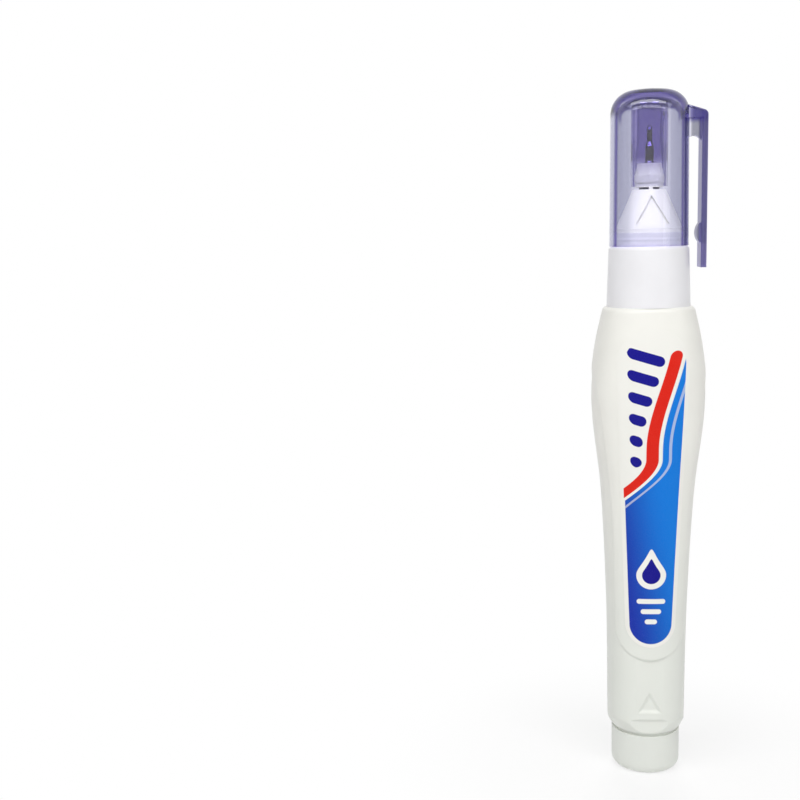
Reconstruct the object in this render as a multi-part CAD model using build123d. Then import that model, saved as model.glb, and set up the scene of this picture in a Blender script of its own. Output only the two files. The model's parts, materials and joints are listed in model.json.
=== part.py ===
from build123d import *
import math
import os

# Squeeze correction pen with a sprung metal tip and a clear clip cap.
# It stands on its tail: the axis is +Z, the label faces -Y and the clip is on the +X side.
# Every driving dimension below is in millimetres unless its comment says otherwise.

# Lengths stacked along the axis, from the foot up
tail_length = 9.0
body_length = 86.2
collar_length = 11.7
cap_length = 30.1

# Clearances
press_gap = 0.02  # radial, between pieces pushed together for good
running_gap = 0.06  # radial, round the needle and inside the seal sleeve
cap_gap = 0.08  # radial, between the cap and the spigot or tail that it is pushed on
seat_gap = 0.05  # axial, where one piece stops against another

# Bottle outside: a blown oval whose section is a superellipse
squareness = 2.5  # exponent of the superellipse, 2 being an ellipse
foot_width = 15.3
foot_depth = 15.1
foot_rim_diameter = 14.0  # round lower edge that the oval is turned down to
foot_flare = 1.3  # how far the turned edge widens
foot_flare_height = 3.2
waist_width = 16.1
waist_depth = 15.5
waist_rise = 27.0  # waist above the body's lower edge
flare_width = 18.3
flare_depth = 16.4
flare_share = 0.51  # where the flare lies, as a share of the way from the waist to the belly
belly_width = 22.1
belly_depth = 18.4
belly_drop = 16.2  # belly below the shoulder
chest_width = 19.8
chest_depth = 17.8
chest_share = 0.68  # where the chest lies, as a share of the way from the belly to the shoulder
shoulder_width = 17.6
shoulder_depth = 17.0
shoulder_round = 0.5

# Bottle inside and neck
bottle_wall = 1.4
shoulder_wall = 1.6
neck_diameter = 12.4
neck_bore = 10.0
neck_rise = 0.7  # neck's end above the cap's seat

# Raised label pads on the front and the back
pad_height = 0.25
pad_inset = 1.35  # pad's edge inside the bottle's outline, seen from the front
pad_rise = 15.7  # lowest point of the pad above the body's lower edge
pad_bow = 7.0  # radius of the pad's round lower end
pad_drop = 0.6  # top of the pad below the shoulder
pad_fade_start = 13.2  # where the pad starts to sink into the bottle, below the shoulder
pad_fade_end = 1.7  # where it has sunk in

# Thumb flat below the front pad, with its moulded arrow, and the band under it
flat_depth = 0.15
flat_rise = 3.0  # lower edge of the flat above the body's lower edge
band_depth = 0.5
arrow_width = 5.4
arrow_height = 4.9
arrow_rise = 4.4  # base of the arrow above the body's lower edge
arrow_depth = 0.4
arrow_lean = 0.35  # how far the arrow's walls lean in

# Printed film label on the front pad
label_film = 0.1
label_rise = 18.6  # lowest point above the body's lower edge
label_length = 63.9
label_foot_width = 9.8
label_head_width = 14.0

# Tail plug, whose post takes the cap while writing
tail_diameter = 13.7
tail_edge_round = 1.8
tail_groove_height = 0.7  # groove round the tail under the bottle's rim
tail_groove_depth = 0.4
tail_floor = 1.6
tail_wall = 1.7
plug_depth = 5.0
plug_bore = 11.8  # bore of the bottle's foot

# Mixing ball
ball_diameter = 6.0

# Neck collar
collar_foot_diameter = 16.3
collar_head_diameter = 15.5
collar_head_round = 0.7
spigot_length = 2.7
bead_height = 0.05
bead_rise = 1.0  # lower edge of the snap bead above the cap's seat
bead_width = 0.8

# Nozzle cone
flange_diameter = 12.9
flange_thickness = 0.7
cone_height = 8.2
cone_head_diameter = 6.4
nozzle_plug_length = 10.6
nozzle_plug_wall = 1.1
triangle_width = 6.2
triangle_height = 5.5
triangle_rise = 1.6  # base of the cone's triangle above the spigot
triangle_depth = 0.45

# Tip holder
nose_length = 5.0
nose_slit = 0.45  # open slit between the cone and the nose
nose_slit_root = 3.9  # diameter at the bottom of the slit
nose_key_width = 0.75  # keys that cross the slit, front and back
nose_neck_diameter = 5.4
nose_neck_height = 0.9
nose_ring_height = 1.4
nose_ring_diameter = 5.9
nose_foot_diameter = 5.4
nose_head_diameter = 4.7
holder_diameter = 4.6
holder_length = 13.3  # hidden barrel below the nose
holder_reach = 1.5  # what stands out below the nozzle's bore
chamber_diameter = 3.0

# Metal tip
tip_length = 7.0  # what shows above the nose
tip_shank_diameter = 1.65
tip_shank_length = 3.4  # what shows of the shank
tip_cone_length = 1.0
tip_point_diameter = 1.0
tip_edge = 0.1  # bevel round the writing end
tip_flange_thickness = 1.4
tip_hold = 4.2  # shank inside the nose

# Valve needle
needle_point_diameter = 0.56
needle_rod_diameter = 0.9
needle_stem_diameter = 1.0
needle_collar_diameter = 2.4
needle_collar_thickness = 1.0
needle_collar_drop = 3.0  # top of the needle's collar below the tip's flange
needle_protrusion = 0.3
needle_edge = 0.1  # bevel round the needle's writing end
needle_seat_length = 0.5
needle_tail = 1.2  # stem below the cage

# Valve spring and its cage
spring_wire = 0.3
spring_diameter = 2.1  # mean coil
spring_turns = 5
cage_length = 3.0
cage_flange_diameter = 4.0
cage_flange_thickness = 0.8
flow_slot_width = 0.7
flow_slot_floor = 0.95  # radius at which each flow slot starts
flow_slot_count = 3

# Cap and its seal sleeve
cap_mouth_diameter = 15.3
cap_crown_diameter = 15.0
cap_dome_round = 4.4
cap_top_wall = 1.3
cap_top_rise = 0.3  # rise of the slightly domed top
cap_crown_wall = 0.8
boss_wall = 0.8
boss_height = 1.4
sleeve_wall = 0.54
sleeve_bore = 5.0
sleeve_top_wall = 1.0
sleeve_lift = 0.6  # sleeve's rim above the cone
sleeve_nose_room = 0.4  # wide mouth of the sleeve past the nose
sleeve_taper = 4.0  # length over which the mouth narrows to the bore

# Pocket clip, moulded on the cap
clip_gap = 2.05
clip_thickness = 1.1
clip_width = 5.0
clip_drop = 3.4  # top of the clip's root below the crown
clip_fall = 1.2  # fall of the bridge from its root to the tongue
clip_shoulder_round = 1.0
clip_edge_round = 0.3
clip_bridge_height = 2.4
clip_overhang = 4.3  # clip's free end below the cap's mouth
clip_web_height = 4.4
clip_web_thickness = 1.4
clip_bump_height = 0.8
clip_bump_length = 4.0
clip_bump_rise = 0.4  # low end of the bump above the cap's mouth
clip_bump_width = 2.4

# Levels worked out from the lengths
body_base = tail_length
body_top = body_base + body_length
cap_seat = body_top + collar_length
cap_rim = cap_seat + seat_gap
crown_top = cap_seat + cap_length
ceiling = crown_top - cap_top_wall
neck_top = cap_seat + neck_rise
spigot_top = cap_seat + spigot_length
cone_top = spigot_top + cone_height
nose_top = cone_top + nose_length
tip_end = nose_top + tip_length
tip_flange_top = nose_top - tip_hold
tip_flange_base = tip_flange_top - tip_flange_thickness
holder_base = cone_top - holder_length
cage_top = holder_base + cage_length
needle_collar_top = tip_flange_base - needle_collar_drop
needle_collar_base = needle_collar_top - needle_collar_thickness
needle_seat_top = nose_top + tip_shank_length
needle_seat_base = needle_seat_top - needle_seat_length
pad_low = body_base + pad_rise

# Radii worked out from the fits
neck_radius = neck_diameter / 2
neck_bore_radius = neck_bore / 2
nozzle_plug_radius = neck_bore_radius - press_gap
spigot_radius = tail_diameter / 2
cap_bore_radius = spigot_radius + cap_gap
cap_mouth_radius = cap_mouth_diameter / 2
cap_crown_radius = cap_crown_diameter / 2
holder_radius = holder_diameter / 2
chamber_radius = chamber_diameter / 2
nose_ring_radius = nose_ring_diameter / 2
sleeve_mouth_radius = nose_ring_radius + running_gap
sleeve_radius = sleeve_mouth_radius + sleeve_wall
boss_radius = sleeve_radius + press_gap
shank_radius = tip_shank_diameter / 2
rod_radius = needle_rod_diameter / 2
point_radius = needle_point_diameter / 2
stem_radius = needle_stem_diameter / 2
plug_radius = plug_bore / 2 - press_gap
tail_bore_radius = plug_radius - tail_wall

# Stations that set the bottle's outline: level, width and depth
waist_level = body_base + waist_rise
belly_level = body_top - belly_drop
flare_level = waist_level + flare_share * (belly_level - waist_level)
chest_level = belly_level + chest_share * (body_top - belly_level)
stations = [
    (body_base, foot_width, foot_depth),
    (waist_level, waist_width, waist_depth),
    (flare_level, flare_width, flare_depth),
    (belly_level, belly_width, belly_depth),
    (chest_level, chest_width, chest_depth),
    (body_top, shoulder_width, shoulder_depth),
]
section_count = 16  # evenly spaced sections that the bottle is lofted through
side_steps = 6  # steps along each of a section's four sides
reach = 2 * belly_width  # how far a cutting prism runs past the bottle


def oval_point(width, depth, angle):
    """Point of a superellipse in the direction of an angle, and the curve's heading there."""
    half_width = width / 2
    half_depth = depth / 2
    across = abs(math.cos(angle) / half_width) ** squareness
    along = abs(math.sin(angle) / half_depth) ** squareness
    radius = (across + along) ** (-1 / squareness)
    x = radius * math.cos(angle)
    y = radius * math.sin(angle)
    slope_x = math.copysign(abs(x / half_width) ** (squareness - 1) / half_width, x)
    slope_y = math.copysign(abs(y / half_depth) ** (squareness - 1) / half_depth, y)
    return (x, y), (-slope_y, slope_x)


def oval(level, width, depth):
    """Oval face across the axis, from four curves that meet smoothly at the corners."""
    sides = []
    for side in range(4):
        corner = math.pi / 4 + side * math.pi / 2
        angles = [corner + math.pi / 2 * step / side_steps for step in range(side_steps + 1)]
        stops = [oval_point(width, depth, angle) for angle in angles]
        ends = [stops[0][1], stops[-1][1]]
        sides.append(Spline(*[point for point, heading in stops], tangents=ends))
    return Plane.XY.offset(level) * make_face(sides)


def station_slope(index, column):
    """Slope of the width or the depth at a station, between those of the stretches on its two sides."""
    before = stations[max(index - 1, 0)]
    here = stations[index]
    after = stations[min(index + 1, len(stations) - 1)]
    below = here[0] - before[0]
    above = after[0] - here[0]
    if below == 0:
        return (after[column] - here[column]) / above
    if above == 0:
        return (here[column] - before[column]) / below
    slope_below = (here[column] - before[column]) / below
    slope_above = (after[column] - here[column]) / above
    return (below * slope_above + above * slope_below) / (below + above)


def outline_value(level, column):
    """Width or depth of the bottle at a level, on a smooth curve through the stations."""
    index = sum(station[0] <= level for station in stations[1:-1])
    low, high = stations[index], stations[index + 1]
    span = high[0] - low[0]
    share = (level - low[0]) / span
    ease = share * share * (3 - 2 * share)
    start_pull = share * (1 - share) ** 2 * span * station_slope(index, column)
    end_pull = share**2 * (share - 1) * span * station_slope(index + 1, column)
    return low[column] + ease * (high[column] - low[column]) + start_pull + end_pull


def pad_swell(level):
    """How far the pads stand out of the bottle at a level; negative where they have sunk in."""
    fade_length = pad_fade_start - pad_fade_end
    return pad_height * min(1, (body_top - pad_fade_end - level) / fade_length)


def skin(inset, on_pad=False):
    """The blown body from the foot to the shoulder, or its pads, moved inwards by the inset."""
    sections = []
    for step in range(section_count):
        level = body_base + body_length * step / (section_count - 1)
        growth = pad_swell(level) - inset if on_pad else -inset
        width = outline_value(level, 1) + 2 * growth
        depth = outline_value(level, 2) + 2 * growth
        sections.append(oval(level, width, depth))
    return loft(sections)


def turned(*outline):
    """Solid of revolution about the axis, from corners given as (radius, level)."""
    return revolve(Plane.XZ * make_face(Polyline(*outline, close=True)), Axis.Z)


def rod(radius, low, high):
    """Plain round bar on the axis."""
    return Pos(0, 0, (low + high) / 2) * Cylinder(radius, high - low)


def slab(low, high):
    """Everything between two levels."""
    return Pos(0, 0, (low + high) / 2) * Box(2 * reach, 2 * reach, high - low)


def front_prism(outline, near, far):
    """Prism along Y, from y = near to y = far, through a closed outline drawn as (x, level)."""
    face = Plane.XZ * make_face(outline)
    return extrude(Pos(0, near, 0) * face, amount=far - near, dir=(0, 1, 0))


def triangle(width, base, height):
    """Upright triangle as (x, level) lines."""
    return Polyline((-width / 2, base), (width / 2, base), (0, base + height), close=True)


def pad_outline():
    """A pad seen from the front: round below, then along the bottle's sides and out past them."""
    half = waist_width / 2 - pad_inset
    bow_level = pad_low + pad_bow - math.sqrt(pad_bow**2 - half**2)
    rise = half / pad_bow
    lean = math.sqrt(1 - rise**2)
    flare_edge = flare_width / 2 - pad_inset
    belly_edge = belly_width / 2 - pad_inset / 2
    top_edge = belly_width / 2 + pad_inset
    top = body_top - pad_drop
    bow = ThreePointArc((-half, bow_level), (0, pad_low), (half, bow_level))
    right = Spline(
        (half, bow_level),
        (flare_edge, flare_level),
        (belly_edge, belly_level),
        (top_edge, top),
        tangents=[(lean, rise), (lean, rise)],
    )
    left = mirror(right, Plane.YZ)
    head = Line((top_edge, top), (-top_edge, top))
    return [bow, right, head, left]


def label_outline():
    """The label seen from the front: a long taper with a round foot and a round head."""
    foot = label_foot_width / 2
    head = label_head_width / 2
    low = body_base + label_rise
    high = low + label_length
    return [
        ThreePointArc((-foot, low + foot), (0, low), (foot, low + foot)),
        Line((foot, low + foot), (head, high - head)),
        ThreePointArc((head, high - head), (0, high), (-head, high - head)),
        Line((-head, high - head), (-foot, low + foot)),
    ]


def turned_foot():
    """Round form that the bottle's oval lower end is cut to."""
    rim = foot_rim_diameter / 2
    flare_top = body_base + foot_flare_height
    outline = [
        TangentArc((rim, body_base), (rim + foot_flare, flare_top), tangent=(2, 3)),
        Line((rim + foot_flare, flare_top), (reach, flare_top)),
        Line((reach, flare_top), (reach, body_base)),
        Line((reach, body_base), (rim, body_base)),
    ]
    return revolve(Plane.XZ * make_face(outline), Axis.Z)


def sunk_arrow(front):
    """Triangle with leaning walls, sunk into the thumb flat whose face is at y = front."""
    base = body_base + arrow_rise
    slant = math.hypot(arrow_width / 2, arrow_height)
    side_lean = arrow_lean * slant / arrow_height
    top_lean = arrow_lean * slant / (arrow_width / 2)
    floor_half = arrow_width / 2 - side_lean - arrow_lean * arrow_width / 2 / arrow_height
    floor_height = arrow_height - arrow_lean - top_lean
    mouth = Pos(0, front, 0) * (Plane.XZ * make_face(triangle(arrow_width, base, arrow_height)))
    floor_line = triangle(2 * floor_half, base + arrow_lean, floor_height)
    floor = Pos(0, front + arrow_depth, 0) * (Plane.XZ * make_face(floor_line))
    return loft([mouth, floor]) + front_prism(triangle(arrow_width, base, arrow_height), -reach, front)


def make_bottle():
    """Blown squeeze bottle: hollow, open at the neck and at the foot."""
    body = skin(0)
    body = fillet(body.edges().group_by(Axis.Z)[-1], shoulder_round)
    body -= turned_foot()
    flat_front = flat_depth - foot_depth / 2
    flat_low = body_base + flat_rise
    flat_top = pad_low + pad_bow
    side = foot_width / 2
    flat = Polyline((-side, flat_low), (side, flat_low), (side, flat_top), (-side, flat_top), close=True)
    body -= front_prism(flat, -reach, flat_front)
    band = Polyline((-side, body_base), (side, body_base), (side, flat_low), (-side, flat_low), close=True)
    body -= front_prism(band, -reach, band_depth - foot_depth / 2)
    body += skin(0, on_pad=True) & front_prism(pad_outline(), -reach, reach)
    body -= sunk_arrow(flat_front)
    body += rod(neck_radius, body_top - shoulder_wall, neck_top)
    cavity_base = body_base + plug_depth
    cavity_top = body_top - shoulder_wall
    body -= skin(bottle_wall) & slab(cavity_base, cavity_top)
    body -= rod(plug_bore / 2, body_base, cavity_base)
    return body - rod(neck_bore_radius, cavity_top, neck_top)


def make_tail_plug():
    """Cup pressed into the bottle's foot, whose post is as wide as the cap's spigot."""
    post_top = body_base - tail_groove_height
    post = fillet(rod(spigot_radius, 0, post_top).edges().sort_by(Axis.Z)[0], tail_edge_round)
    post += rod(spigot_radius - tail_groove_depth, post_top, body_base)
    plug_top = body_base + plug_depth
    return post + rod(plug_radius, body_base, plug_top) - rod(tail_bore_radius, tail_floor, plug_top)


def make_mixing_ball():
    """Steel ball at the bottom of the tail plug."""
    radius = ball_diameter / 2
    return Pos(0, 0, tail_floor + seat_gap + radius) * Sphere(radius)


def make_front_label():
    """Film on the front pad, following its curve."""
    film = skin(-label_film, on_pad=True) & front_prism(label_outline(), -reach, 0)
    return film - skin(0, on_pad=True)


def make_collar():
    """Ring pushed over the neck, with the seat and the spigot that the cap goes on."""
    hood = neck_top + seat_gap
    bead_low = cap_seat + bead_rise
    ring = turned(
        (neck_radius + press_gap, body_top),
        (collar_foot_diameter / 2, body_top),
        (collar_head_diameter / 2, cap_seat),
        (spigot_radius, cap_seat),
        (spigot_radius, bead_low),
        (spigot_radius + bead_height, bead_low + bead_width / 2),
        (spigot_radius, bead_low + bead_width),
        (spigot_radius, spigot_top),
        (neck_bore_radius, spigot_top),
        (neck_bore_radius, hood),
        (neck_radius + press_gap, hood),
    )
    circles = ring.edges().filter_by(GeomType.CIRCLE)
    head_edge = circles.filter_by(lambda edge: math.isclose(edge.radius, collar_head_diameter / 2))
    return fillet(head_edge, collar_head_round)


def make_nozzle():
    """Cone that closes the neck and carries the tip holder, with a sunk triangle front and back."""
    plug_base = spigot_top - nozzle_plug_length
    skirt_top = holder_base + holder_reach
    skirt_radius = nozzle_plug_radius - nozzle_plug_wall
    bore_radius = holder_radius + press_gap
    flange_radius = flange_diameter / 2
    flange_top = spigot_top + flange_thickness
    head_radius = cone_head_diameter / 2
    body = turned(
        (skirt_radius, plug_base),
        (nozzle_plug_radius, plug_base),
        (nozzle_plug_radius, spigot_top),
        (flange_radius, spigot_top),
        (flange_radius, flange_top),
        (head_radius, cone_top),
        (bore_radius, cone_top),
        (bore_radius, skirt_top),
        (skirt_radius, skirt_top),
    )
    slant_height = cone_top - flange_top
    radial_depth = triangle_depth * math.hypot(slant_height, flange_radius - head_radius) / slant_height
    floor = turned(
        (0, flange_top),
        (flange_radius - radial_depth, flange_top),
        (head_radius - radial_depth, cone_top),
        (0, cone_top),
    )
    outline = triangle(triangle_width, spigot_top + triangle_rise, triangle_height)
    return body - (front_prism(outline, -flange_radius, flange_radius) - floor)


def make_tip_holder():
    """Nose pushed into the cone; the valve's chamber is inside it."""
    slit_top = cone_top + nose_slit
    ring_base = slit_top + nose_neck_height
    ring_top = ring_base + nose_ring_height
    stem = nose_neck_diameter / 2
    root = nose_slit_root / 2
    hole_radius = shank_radius + press_gap
    nose = turned(
        (chamber_radius, holder_base),
        (holder_radius, holder_base),
        (holder_radius, cone_top),
        (root, cone_top),
        (root, slit_top),
        (stem, slit_top),
        (stem, ring_base),
        (nose_ring_radius, ring_base),
        (nose_ring_radius, ring_top),
        (nose_foot_diameter / 2, ring_top),
        (nose_head_diameter / 2, nose_top),
        (hole_radius, nose_top),
        (hole_radius, tip_flange_top),
        (chamber_radius, tip_flange_top),
    )
    key_band = rod(stem, cone_top, slit_top) - rod(root, cone_top, slit_top)
    key_bar = Pos(0, 0, (cone_top + slit_top) / 2) * Box(nose_key_width, nose_neck_diameter, nose_slit)
    return nose + (key_band & key_bar)


def make_metal_tip():
    """Turned steel tip, held in the nose by its flange and bored for the needle."""
    flange_radius = chamber_radius - press_gap
    end_radius = tip_point_diameter / 2
    cone_end = needle_seat_top + tip_cone_length
    return turned(
        (rod_radius + running_gap, tip_flange_base),
        (flange_radius, tip_flange_base),
        (flange_radius, tip_flange_top),
        (shank_radius, tip_flange_top),
        (shank_radius, needle_seat_top),
        (end_radius, cone_end),
        (end_radius, tip_end - tip_edge),
        (end_radius - tip_edge, tip_end),
        (point_radius + running_gap, tip_end),
        (point_radius + running_gap, needle_seat_top),
        (rod_radius + running_gap, needle_seat_base),
    )


def make_valve_needle():
    """Needle that closes the tip on a cone and carries the spring's collar."""
    needle_end = tip_end + needle_protrusion
    collar_radius = needle_collar_diameter / 2
    stem_base = holder_base - cage_flange_thickness - needle_tail
    return turned(
        (0, stem_base),
        (stem_radius, stem_base),
        (stem_radius, needle_collar_base),
        (collar_radius, needle_collar_base),
        (collar_radius, needle_collar_top),
        (rod_radius, needle_collar_top),
        (rod_radius, needle_seat_base - seat_gap),
        (point_radius, needle_seat_top - seat_gap),
        (point_radius, needle_end - needle_edge),
        (point_radius - needle_edge, needle_end),
        (0, needle_end),
    )


def make_valve_cage():
    """Slotted plug at the holder's open end: the spring's seat and the stem's guide."""
    cage = rod(chamber_radius - press_gap, holder_base, cage_top)
    cage += rod(cage_flange_diameter / 2, holder_base - cage_flange_thickness, holder_base)
    cage -= rod(stem_radius + running_gap, holder_base - cage_flange_thickness, cage_top)
    flange_reach = cage_flange_diameter / 2
    slot_length = cage_length + cage_flange_thickness
    slot = Pos(flow_slot_floor + flange_reach / 2, 0, cage_top - slot_length / 2) * Box(
        flange_reach, flow_slot_width, slot_length
    )
    for turn in range(flow_slot_count):
        cage -= Rot(0, 0, 360 * turn / flow_slot_count) * slot
    return cage


def helix_point(turn, radius, low, high):
    """Point and unit direction of the spring's centre line after a number of turns."""
    angle = 2 * math.pi * turn
    climb = (high - low) / spring_turns
    point = Vector(radius * math.cos(angle), radius * math.sin(angle), low + climb * turn)
    heading = Vector(-radius * math.sin(angle), radius * math.cos(angle), climb / (2 * math.pi))
    return point, heading.normalized()


def biarc(start, start_heading, end, end_heading):
    """Two tangent arcs from one point and heading to another."""
    chord = end - start
    both = start_heading + end_heading
    spread = 2 * (1 - start_heading.dot(end_heading))
    along = chord.dot(both)
    arm = (math.sqrt(along**2 + spread * chord.dot(chord)) - along) / spread
    first_corner = start + start_heading * arm
    second_corner = end - end_heading * arm
    middle = (first_corner + second_corner) * 0.5
    return [
        TangentArc(start, middle, tangent=start_heading),
        TangentArc(middle, end, tangent=second_corner - first_corner),
    ]


def make_valve_spring():
    """Coil spring between the cage and the needle's collar, one wire on quarter-turn biarcs."""
    radius = spring_diameter / 2
    low = cage_top + seat_gap + spring_wire / 2
    high = needle_collar_base - seat_gap - spring_wire / 2
    stops = [helix_point(quarter / 4, radius, low, high) for quarter in range(4 * spring_turns + 1)]
    arcs = []
    for (start, start_heading), (end, end_heading) in zip(stops, stops[1:]):
        arcs += biarc(start, start_heading, end, end_heading)
    path = Wire(arcs)
    samples = [path.position_at(step / 400) for step in range(401)]
    near_turn = 401 // spring_turns // 2
    gaps = [(a - b).length for i, a in enumerate(samples) for b in samples[i + near_turn:]]
    print(f"valve spring: least gap between turns {min(gaps) - spring_wire:.2f} mm")
    start, heading = stops[0]
    return sweep(Plane(start, z_dir=heading) * Circle(spring_wire / 2), path)


def make_inner_cap():
    """Seal sleeve in the cap's boss that closes over the nose."""
    top = ceiling - seat_gap
    rim = cone_top + sleeve_lift
    mouth_end = nose_top + sleeve_nose_room
    bore_radius = sleeve_bore / 2
    inside_top = top - sleeve_top_wall
    return turned(
        (0, top),
        (0, inside_top),
        (bore_radius, inside_top),
        (bore_radius, mouth_end + sleeve_taper),
        (sleeve_mouth_radius, mouth_end),
        (sleeve_mouth_radius, rim),
        (sleeve_radius, rim),
        (sleeve_radius, top),
    )


def domed_outline(foot_radius, head_radius, low, high, corner, rise):
    """Half outline of a domed cap as (radius, level) curves, closed down the axis."""
    side_top = high - rise - corner
    flat_radius = head_radius - corner
    turn = corner * math.sqrt(0.5)
    crown_radius = (flat_radius**2 + rise**2) / (2 * rise)
    return [
        Line((0, low), (foot_radius, low)),
        Line((foot_radius, low), (head_radius, side_top)),
        ThreePointArc(
            (head_radius, side_top), (flat_radius + turn, side_top + turn), (flat_radius, side_top + corner)
        ),
        RadiusArc((flat_radius, side_top + corner), (0, high), -crown_radius),
        Line((0, high), (0, low)),
    ]


def make_clip():
    """Pocket clip: bridge, web under it, springy tongue and the bump that grips."""
    inner = cap_mouth_radius + clip_gap
    outer = inner + clip_thickness
    top = crown_top - clip_drop
    end = cap_rim - clip_overhang
    root = cap_crown_radius - cap_crown_wall / 2
    bridge_low = top - clip_bridge_height
    hook = Polyline(
        (root, top),
        (outer, top - clip_fall),
        (outer, end),
        (inner, end),
        (inner, bridge_low),
        (root, bridge_low),
        close=True,
    )
    tongue = front_prism(hook, -clip_width / 2, clip_width / 2)
    shoulder = tongue.edges().filter_by(Axis.Y).group_by(Axis.X)[-1].sort_by(Axis.Z)[-1]
    tongue = fillet(shoulder, clip_shoulder_round)
    long_edges = tongue.edges().filter_by(lambda edge: edge.center().X > inner - clip_edge_round)
    side_edges = long_edges.filter_by(lambda edge: abs(abs(edge.center().Y) - clip_width / 2) < 1e-6)
    tongue = fillet(side_edges, clip_edge_round)
    web_low = bridge_low - clip_web_height
    web_bow = clip_gap / 2
    web_middle = (root + inner) / 2
    web = [
        Line((root, bridge_low), (root, web_low)),
        ThreePointArc((root, web_low), (web_middle, web_low + web_bow), (inner, web_low)),
        Line((inner, web_low), (inner, bridge_low)),
        Line((inner, bridge_low), (root, bridge_low)),
    ]
    bump_low = cap_rim + clip_bump_rise
    bump_high = bump_low + clip_bump_length
    bump_middle = (bump_low + bump_high) / 2
    bump = [
        ThreePointArc((inner, bump_low), (inner - clip_bump_height, bump_middle), (inner, bump_high)),
        Line((inner, bump_high), (inner, bump_low)),
    ]
    tongue += front_prism(web, -clip_web_thickness / 2, clip_web_thickness / 2)
    return tongue + front_prism(bump, -clip_bump_width / 2, clip_bump_width / 2)


def make_cap():
    """Clear cap with its clip, and the boss that holds the seal sleeve."""
    outline = domed_outline(
        cap_mouth_radius, cap_crown_radius, cap_rim, crown_top, cap_dome_round, cap_top_rise
    )
    inside = domed_outline(
        cap_bore_radius,
        cap_crown_radius - cap_crown_wall,
        cap_rim,
        ceiling,
        cap_dome_round - cap_crown_wall,
        cap_top_rise,
    )
    shell = revolve(Plane.XZ * make_face(outline), Axis.Z) + make_clip()
    shell -= revolve(Plane.XZ * make_face(inside), Axis.Z)
    boss_top = crown_top - cap_top_wall / 2
    boss = rod(boss_radius + boss_wall, ceiling - boss_height, boss_top)
    return shell + boss - rod(boss_radius, ceiling - boss_height, ceiling)


pieces = {
    "cap": make_cap,
    "inner_cap": make_inner_cap,
    "metal_tip": make_metal_tip,
    "tip_holder": make_tip_holder,
    "nozzle": make_nozzle,
    "collar": make_collar,
    "bottle": make_bottle,
    "tail_plug": make_tail_plug,
    "front_label": make_front_label,
    "valve_needle": make_valve_needle,
    "valve_spring": make_valve_spring,
    "valve_cage": make_valve_cage,
    "mixing_ball": make_mixing_ball,
}

if __name__ == "__main__":
    os.makedirs("parts", exist_ok=True)
    for name, make in pieces.items():
        export_step(make(), f"parts/{name}.step")
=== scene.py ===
import json
import math

import bpy
from mathutils import Matrix, Vector


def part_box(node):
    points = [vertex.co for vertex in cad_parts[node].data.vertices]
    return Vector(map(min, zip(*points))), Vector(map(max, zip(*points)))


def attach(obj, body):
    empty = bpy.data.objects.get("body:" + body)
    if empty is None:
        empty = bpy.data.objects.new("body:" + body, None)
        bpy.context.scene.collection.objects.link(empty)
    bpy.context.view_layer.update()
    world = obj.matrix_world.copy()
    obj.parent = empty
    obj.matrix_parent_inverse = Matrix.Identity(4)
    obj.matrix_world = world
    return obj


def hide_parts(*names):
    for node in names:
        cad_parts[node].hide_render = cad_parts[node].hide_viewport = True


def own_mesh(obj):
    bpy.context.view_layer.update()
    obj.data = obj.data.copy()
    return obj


bl_info = {
    "name": "Correction Pen",
    "version": (1, 0, 0),
    "blender": (4, 5, 0),
    "location": "View3D > Sidebar > Correction Pen",
    "description": "Dresses the packed correction pen and sets up its studio",
    "category": "Object",
}

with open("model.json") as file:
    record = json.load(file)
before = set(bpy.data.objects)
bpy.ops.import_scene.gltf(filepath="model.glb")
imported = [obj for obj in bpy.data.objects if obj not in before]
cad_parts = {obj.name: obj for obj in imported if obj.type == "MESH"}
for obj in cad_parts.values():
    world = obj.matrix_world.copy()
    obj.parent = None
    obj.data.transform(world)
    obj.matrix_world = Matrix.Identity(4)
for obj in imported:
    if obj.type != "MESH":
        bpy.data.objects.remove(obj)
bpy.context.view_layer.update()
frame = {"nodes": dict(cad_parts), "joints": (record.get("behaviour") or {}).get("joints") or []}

MM = 0.001
QUARTER = math.pi / 2
NO_LIMIT = 1.0  # radius in metres that no ring of the bottle reaches
SAME_POINT = 1e-6  # points nearer to each other than this, in metres, become one
SHARP_EDGE = math.radians(38)  # faces that meet at a larger angle keep a hard edge

# How finely the pieces are divided
BOTTLE_SIDES = 288
EDGE_RINGS = 6  # on each of the bottle's two rounded edges
LOWER_RINGS = 170  # up to just above the pads' round ends
UPPER_RINGS = 120
INNER_RINGS = 24
LABEL_SIDES = 48
LABEL_END_ROWS = 24
LABEL_ROWS = 120  # between the label's round ends
HELIX_STEPS = 48  # on each turn of the spring
WIRE_SIDES = 16

# Shares of the bottle's sizes
FINE_REACH = 1.5  # pad bows from the pads' lowest point to the end of the fine rings
PAD_SETTLES = 1.2  # pad bows from that point to where the pads' straight edges have taken over
SEAM_FADE = 4.0  # seam half widths in which the dips beside the seam run out
FLARE_BEND = (-3.0, 2.0)  # way from the foot's rim to the centre of its curved flare

LABEL_START = -0.05  # Y in metres from which the label is laid back onto the bottle
BACKWARDS = (0.0, 1.0, 0.0)
OF_NUMBERS = {"data_type": "FLOAT"}  # setting of a node that reads numbers

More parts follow.
